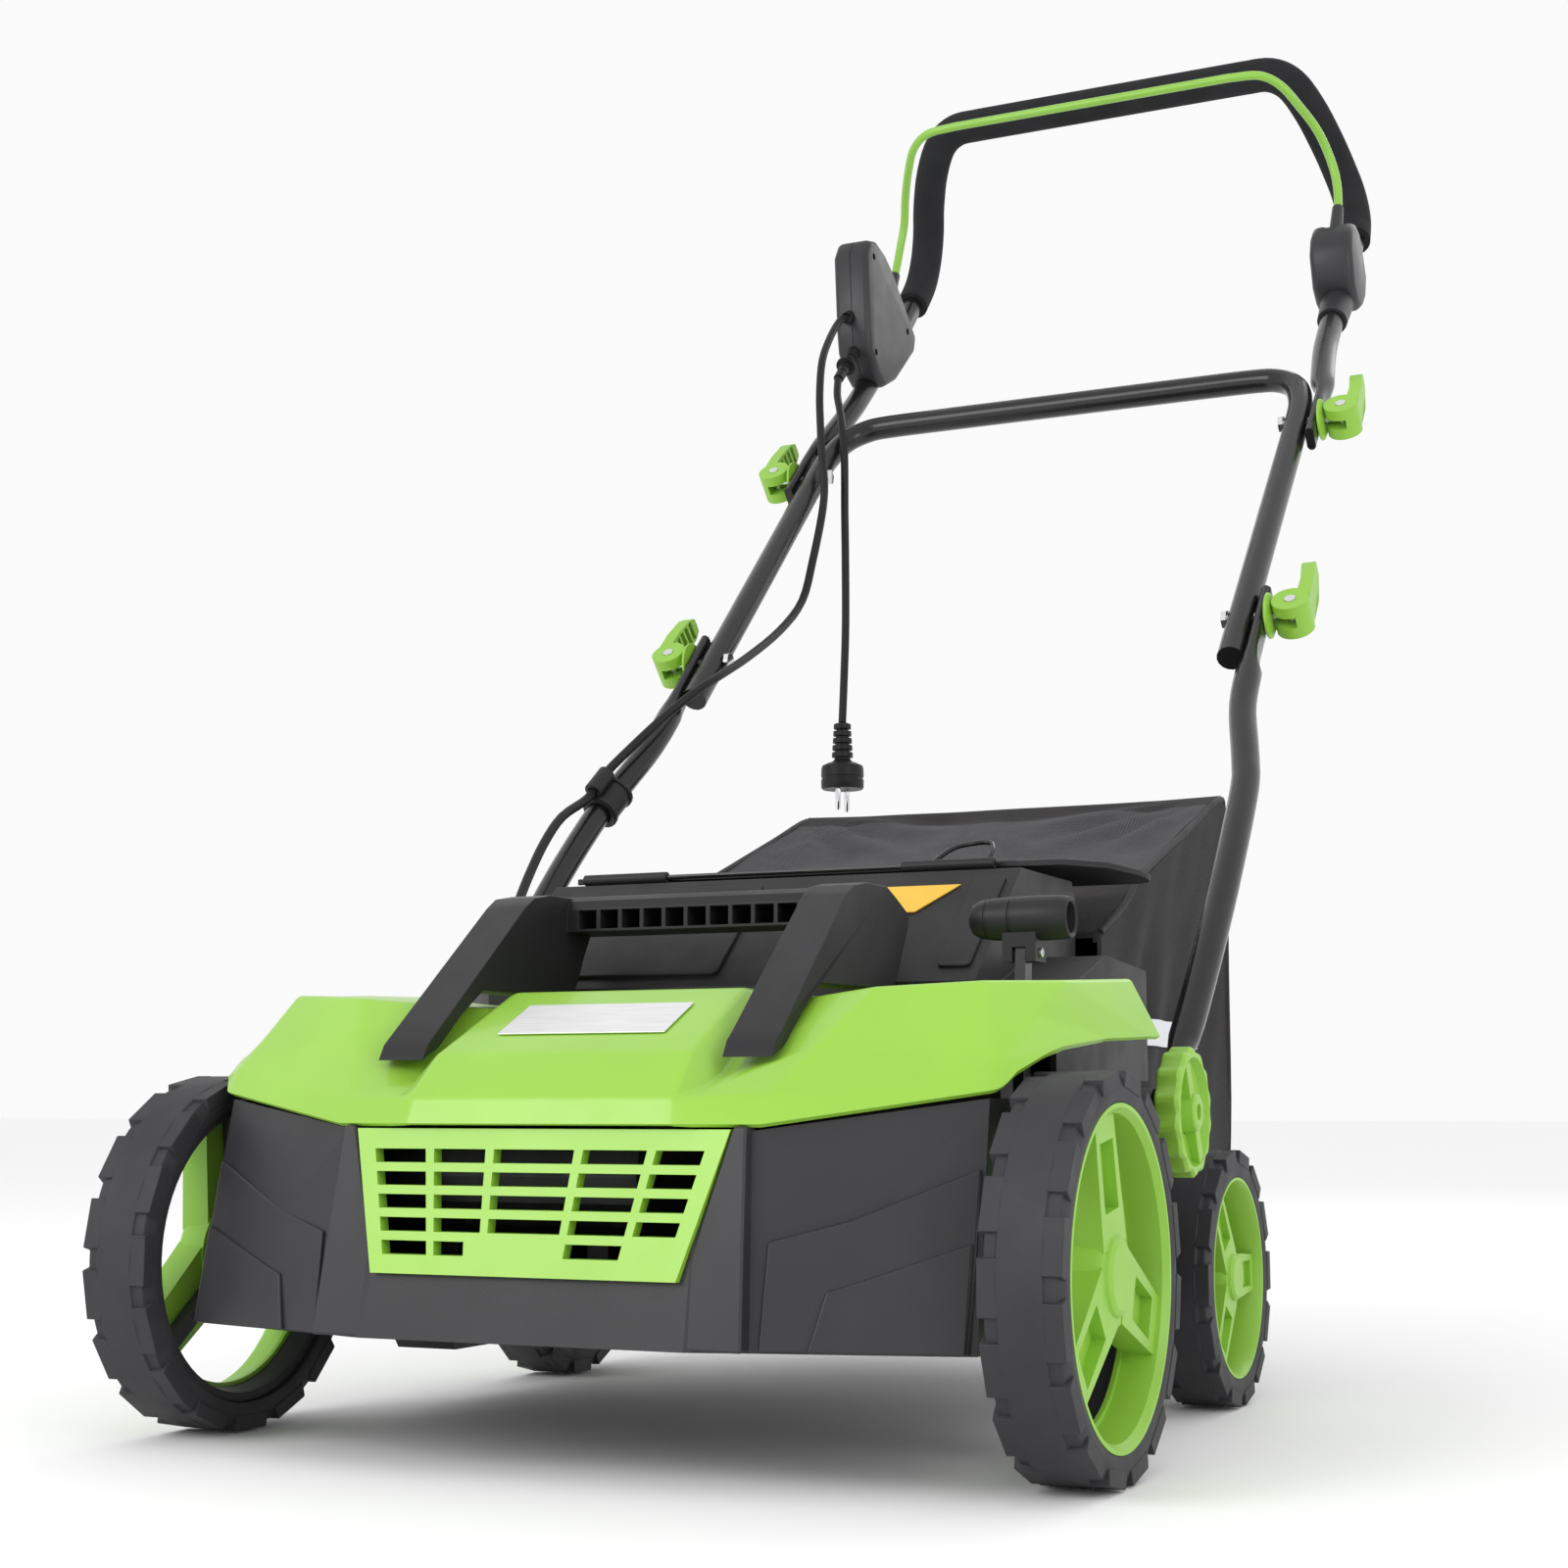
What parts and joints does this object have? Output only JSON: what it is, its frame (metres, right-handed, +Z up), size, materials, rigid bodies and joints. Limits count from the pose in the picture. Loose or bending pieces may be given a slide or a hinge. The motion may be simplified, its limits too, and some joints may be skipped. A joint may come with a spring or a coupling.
{
  "type": "lawn dethatcher",
  "caption": "Walk-behind electric lawn dethatcher with a tined drum, a folding tube handle with a foam grip and start bail, a depth lever and a rear collection bag.",
  "frame": {"origin": "middle of the footprint of the whole machine, on the ground plane", "axes": "+Z up, the machine's front faces -Y and its handle +Y, +X runs across it parallel to the axles"},
  "size_m": [0.556, 1.125, 1.1298],
  "materials": {
    "green_plastic": "moulded, semi-gloss",
    "black_plastic": "moulded, fine grain",
    "steel": "zinc plated",
    "black_tube": "black powder coat",
    "badge": "brushed plate, blank",
    "label": "yellow film, blank",
    "rubber": "soft black rubber",
    "tyre": "moulded black tread",
    "foam": "closed-cell foam",
    "bag": "woven black bag",
    "red_button": "moulded red"
  },
  "bodies": {
    "machine_body": {"chassis": "black_plastic", "front_grille": "green_plastic", "top_cover": "green_plastic", "rear_deck": "black_plastic", "carry_handle": "black_plastic", "badge_plate": "badge", "warning_label": "label", "motor": "steel", "drive_belt": "rubber", "belt_cover": "black_plastic", "depth_quadrant": "steel", "rear_axle": "steel", "flap_hinge_rod": "steel", "drum_bearing_left": "steel", "drum_bearing_right": "steel", "handle_bolt_left": "steel", "handle_bolt_right": "steel"},
    "front_crank": {"front_axle": "steel"},
    "depth_lever": {"depth_lever": "black_tube", "depth_grip": "black_plastic"},
    "depth_link": {"depth_link": "steel"},
    "drum": {"drum_shaft": "steel", "tine_drum": "steel", "drum_pulley": "black_plastic"},
    "motor_rotor": {"motor_pulley": "steel"},
    "flap": {"rear_flap": "black_plastic"},
    "bag": {"grass_bag": "bag", "bag_frame": "black_tube"},
    "lower_handle": {"lower_tube_left": "black_tube", "lower_tube_right": "black_tube", "lower_cam_bolt_left": "steel", "lower_cam_bolt_right": "steel", "cable_clip": "black_plastic", "motor_cable": "rubber"},
    "middle_handle": {"middle_frame": "black_tube", "upper_cam_bolt_left": "steel", "upper_cam_bolt_right": "steel"},
    "upper_handle": {"upper_handle": "black_tube", "foam_grip": "foam", "bail_pivot_housing": "black_plastic", "switch_box": "black_plastic", "strain_relief": "rubber", "plug": "rubber", "mains_lead": "rubber"},
    "bail": {"bail": "green_plastic"},
    "switch_button": {"switch_button": "red_button"},
    "knob_left": {"handle_knob_left": "green_plastic"},
    "front_wheel_left": {"front_rim_left": "green_plastic", "front_tyre_left": "tyre"},
    "rear_wheel_left": {"rear_rim_left": "green_plastic", "rear_tyre_left": "tyre"},
    "lower_cam_left": {"lower_cam_lever_left": "green_plastic"},
    "upper_cam_left": {"upper_cam_lever_left": "green_plastic"},
    "knob_right": {"handle_knob_right": "green_plastic"},
    "front_wheel_right": {"front_rim_right": "green_plastic", "front_tyre_right": "tyre"},
    "rear_wheel_right": {"rear_rim_right": "green_plastic", "rear_tyre_right": "tyre"},
    "lower_cam_right": {"lower_cam_lever_right": "green_plastic"},
    "upper_cam_right": {"upper_cam_lever_right": "green_plastic"}
  },
  "joints": [
    {"name": "depth_lever_turn", "type": "hinge", "parent": "machine_body", "child": "depth_lever", "pos_m": [0.194, -0.369, 0.11], "axis": [1, 0, 0], "range_deg": [-5, 20]},
    {"name": "front_crank_turn", "type": "hinge", "parent": "machine_body", "child": "front_crank", "pos_m": [0, -0.409, 0.085], "axis": [1, 0, 0], "range_deg": [-5, 20]},
    {"name": "depth_link_turn", "type": "hinge", "parent": "depth_lever", "child": "depth_link", "pos_m": [0.194, -0.369, 0.132], "axis": [1, 0, 0], "range_deg": [-20, 5]},
    {"name": "drum_spin", "type": "hinge", "parent": "machine_body", "child": "drum", "pos_m": [0, -0.269, 0.098], "axis": [1, 0, 0], "continuous": true},
    {"name": "motor_spin", "type": "hinge", "parent": "machine_body", "child": "motor_rotor", "pos_m": [0, -0.47, 0.146], "axis": [1, 0, 0], "continuous": true},
    {"name": "flap_lift", "type": "hinge", "parent": "machine_body", "child": "flap", "pos_m": [0, -0.248, 0.3265], "axis": [1, 0, 0], "range_deg": [0, 75]},
    {"name": "bag_slide", "type": "slide", "parent": "machine_body", "child": "bag", "axis": [0, 1, 0], "range_m": [0, 0.3]},
    {"name": "handle_fold", "type": "hinge", "parent": "machine_body", "child": "lower_handle", "pos_m": [0, -0.255, 0.179], "axis": [1, 0, 0], "range_deg": [0, 70], "deforming": ["motor_cable", "mains_lead"]},
    {"name": "middle_fold", "type": "hinge", "parent": "lower_handle", "child": "middle_handle", "pos_m": [0, 0.085, 0.531], "axis": [1, 0, 0], "range_deg": [0, 140], "deforming": ["motor_cable", "mains_lead"]},
    {"name": "upper_fold", "type": "hinge", "parent": "middle_handle", "child": "upper_handle", "pos_m": [0, 0.2846, 0.728], "axis": [1, 0, 0], "range_deg": [0, 120], "deforming": ["motor_cable", "mains_lead"]},
    {"name": "bail_pull", "type": "hinge", "parent": "upper_handle", "child": "bail", "pos_m": [0, 0.443, 0.92], "axis": [-1, 0, 0], "range_deg": [0, 18], "stiffness_Nm_per_rad": 3, "springref_deg": -11.46},
    {"name": "button_press", "type": "slide", "parent": "upper_handle", "child": "switch_button", "axis": [1, 0, 0], "range_m": [0, 0.003], "stiffness_N_per_m": 600, "springref_m": -0.001},
    {"name": "knob_turn_left", "type": "hinge", "parent": "machine_body", "child": "knob_left", "pos_m": [-0.2415, -0.255, 0.179], "axis": [1, 0, 0], "continuous": true},
    {"name": "front_wheel_spin_left", "type": "hinge", "parent": "front_crank", "child": "front_wheel_left", "pos_m": [-0.25735, -0.454, 0.1], "axis": [1, 0, 0], "continuous": true},
    {"name": "rear_wheel_spin_left", "type": "hinge", "parent": "machine_body", "child": "rear_wheel_left", "pos_m": [-0.231, -0.1133, 0.0778], "axis": [1, 0, 0], "continuous": true},
    {"name": "lower_cam_swing_left", "type": "hinge", "parent": "lower_handle", "child": "lower_cam_left", "pos_m": [-0.2485, 0.085, 0.531], "axis": [0, -0.7009, 0.7133], "range_deg": [0, 90]},
    {"name": "upper_cam_swing_left", "type": "hinge", "parent": "middle_handle", "child": "upper_cam_left", "pos_m": [-0.2485, 0.2846, 0.728], "axis": [0, -0.7009, 0.7133], "range_deg": [0, 90]},
    {"name": "knob_turn_right", "type": "hinge", "parent": "machine_body", "child": "knob_right", "pos_m": [0.2415, -0.255, 0.179], "axis": [1, 0, 0], "continuous": true},
    {"name": "front_wheel_spin_right", "type": "hinge", "parent": "front_crank", "child": "front_wheel_right", "pos_m": [0.25735, -0.454, 0.1], "axis": [1, 0, 0], "continuous": true},
    {"name": "rear_wheel_spin_right", "type": "hinge", "parent": "machine_body", "child": "rear_wheel_right", "pos_m": [0.231, -0.1133, 0.0778], "axis": [1, 0, 0], "continuous": true},
    {"name": "lower_cam_swing_right", "type": "hinge", "parent": "lower_handle", "child": "lower_cam_right", "pos_m": [0.2485, 0.085, 0.531], "axis": [0, 0.7009, -0.7133], "range_deg": [0, 90]},
    {"name": "upper_cam_swing_right", "type": "hinge", "parent": "middle_handle", "child": "upper_cam_right", "pos_m": [0.2485, 0.2846, 0.728], "axis": [0, 0.7009, -0.7133], "range_deg": [0, 90]}
  ],
  "couplings": [
    {"joint": "front_crank_turn", "follows": "depth_lever_turn", "ratio": 1},
    {"joint": "depth_link_turn", "follows": "depth_lever_turn", "ratio": -1},
    {"joint": "motor_spin", "follows": "drum_spin", "ratio": 1.375}
  ]
}
